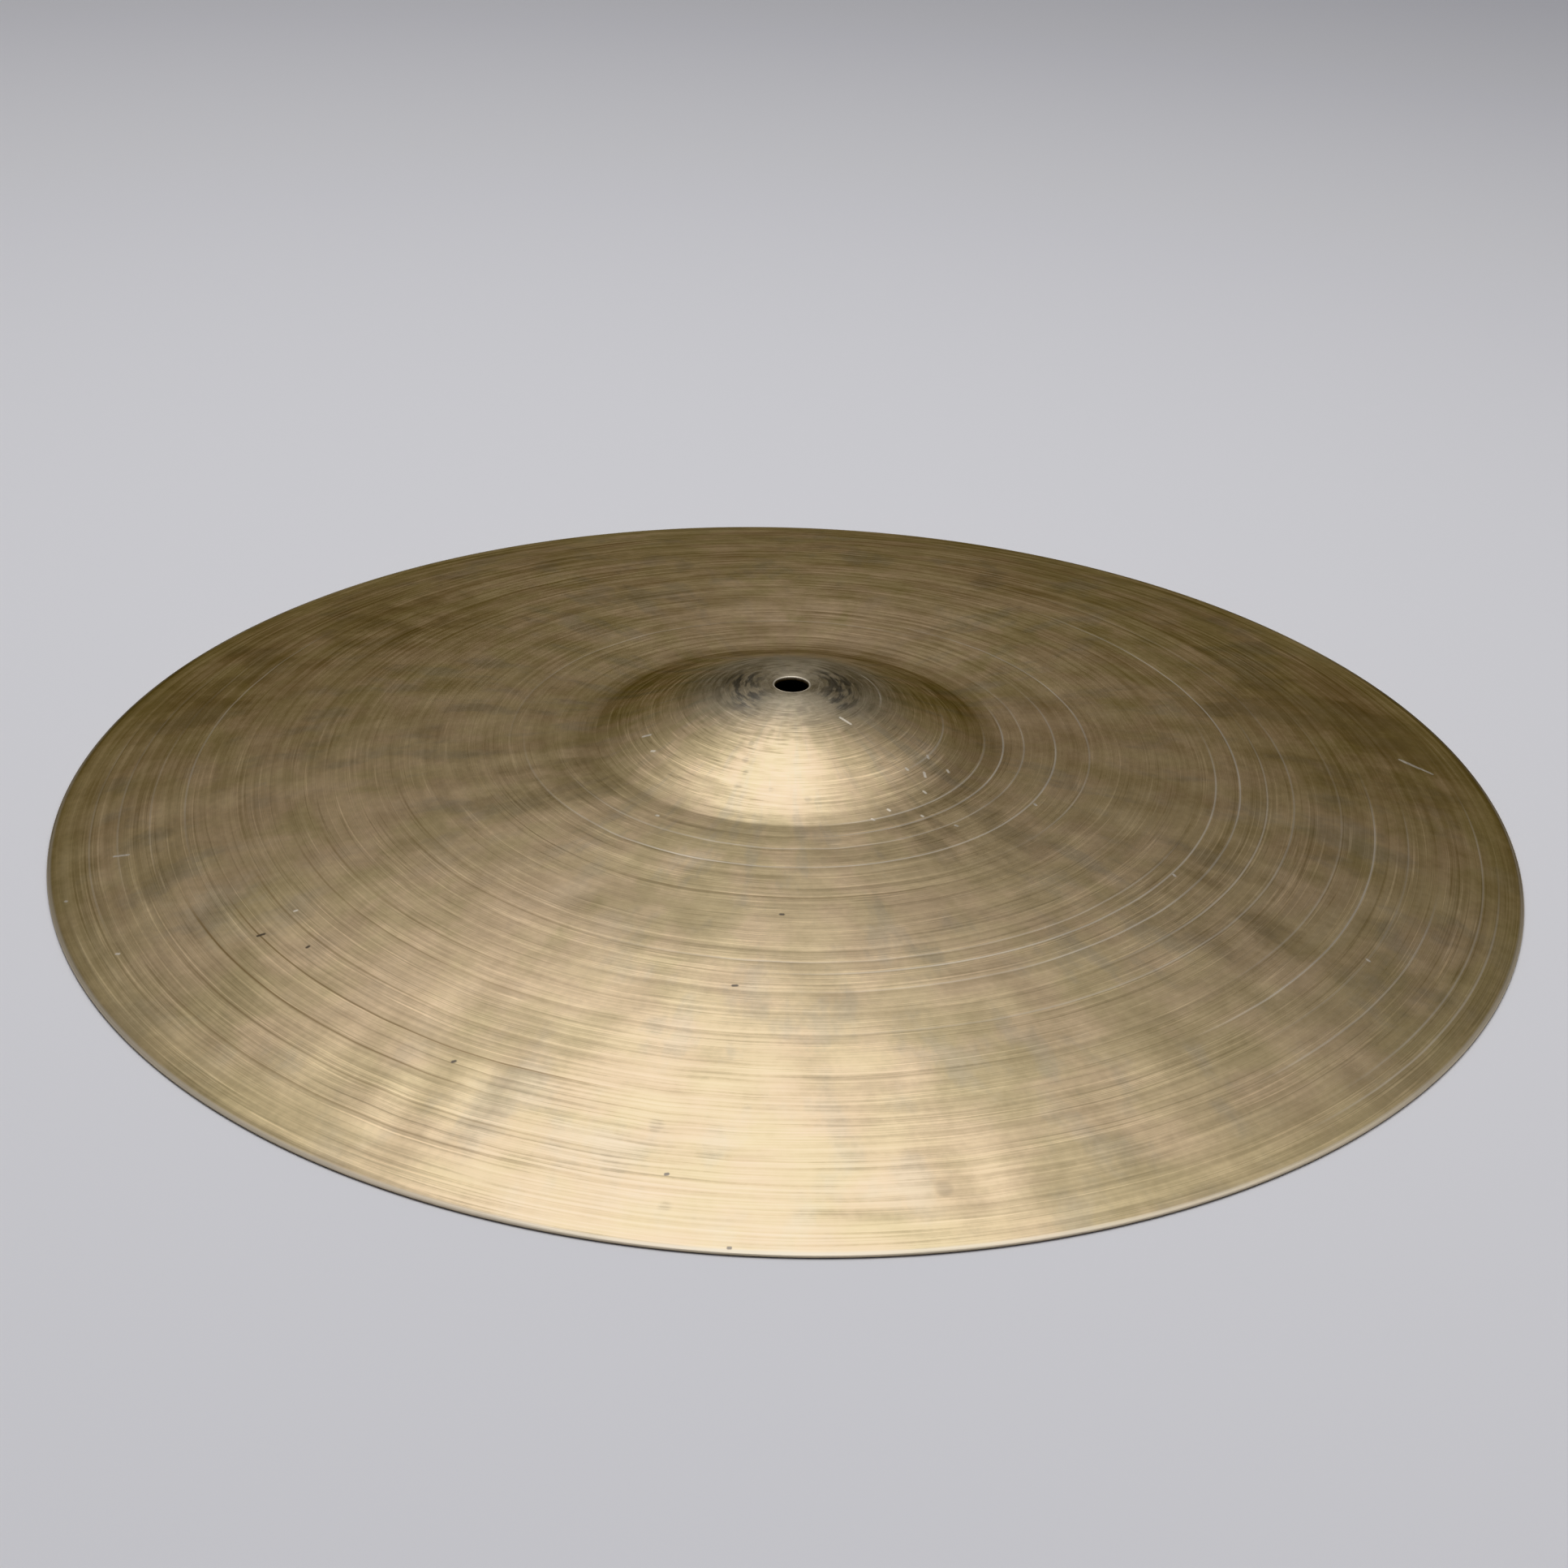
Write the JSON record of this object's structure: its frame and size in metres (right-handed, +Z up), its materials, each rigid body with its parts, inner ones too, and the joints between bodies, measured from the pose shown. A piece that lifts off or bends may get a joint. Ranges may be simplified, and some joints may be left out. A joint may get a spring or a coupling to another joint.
{
  "type": "crash cymbal",
  "caption": "Round bronze crash cymbal with a raised bell, a shallow bow tapering to a thin rim, and a central hole for a stand's rod.",
  "frame": {"origin": "on the cymbal's axis, level with the underside of its rim", "axes": "+Z up through the hole and out of the bell; the cymbal is the same all round, so +X and +Y are any two square directions in the rim's plane"},
  "size_m": [0.508, 0.508, 0.0451],
  "materials": {
    "bronze": "hammered and lathed bell bronze, aged: fine concentric tool lines, dull olive-brown patina with brighter streaks"
  },
  "bodies": {
    "root": {"cymbal": "bronze"}
  },
  "joints": []
}
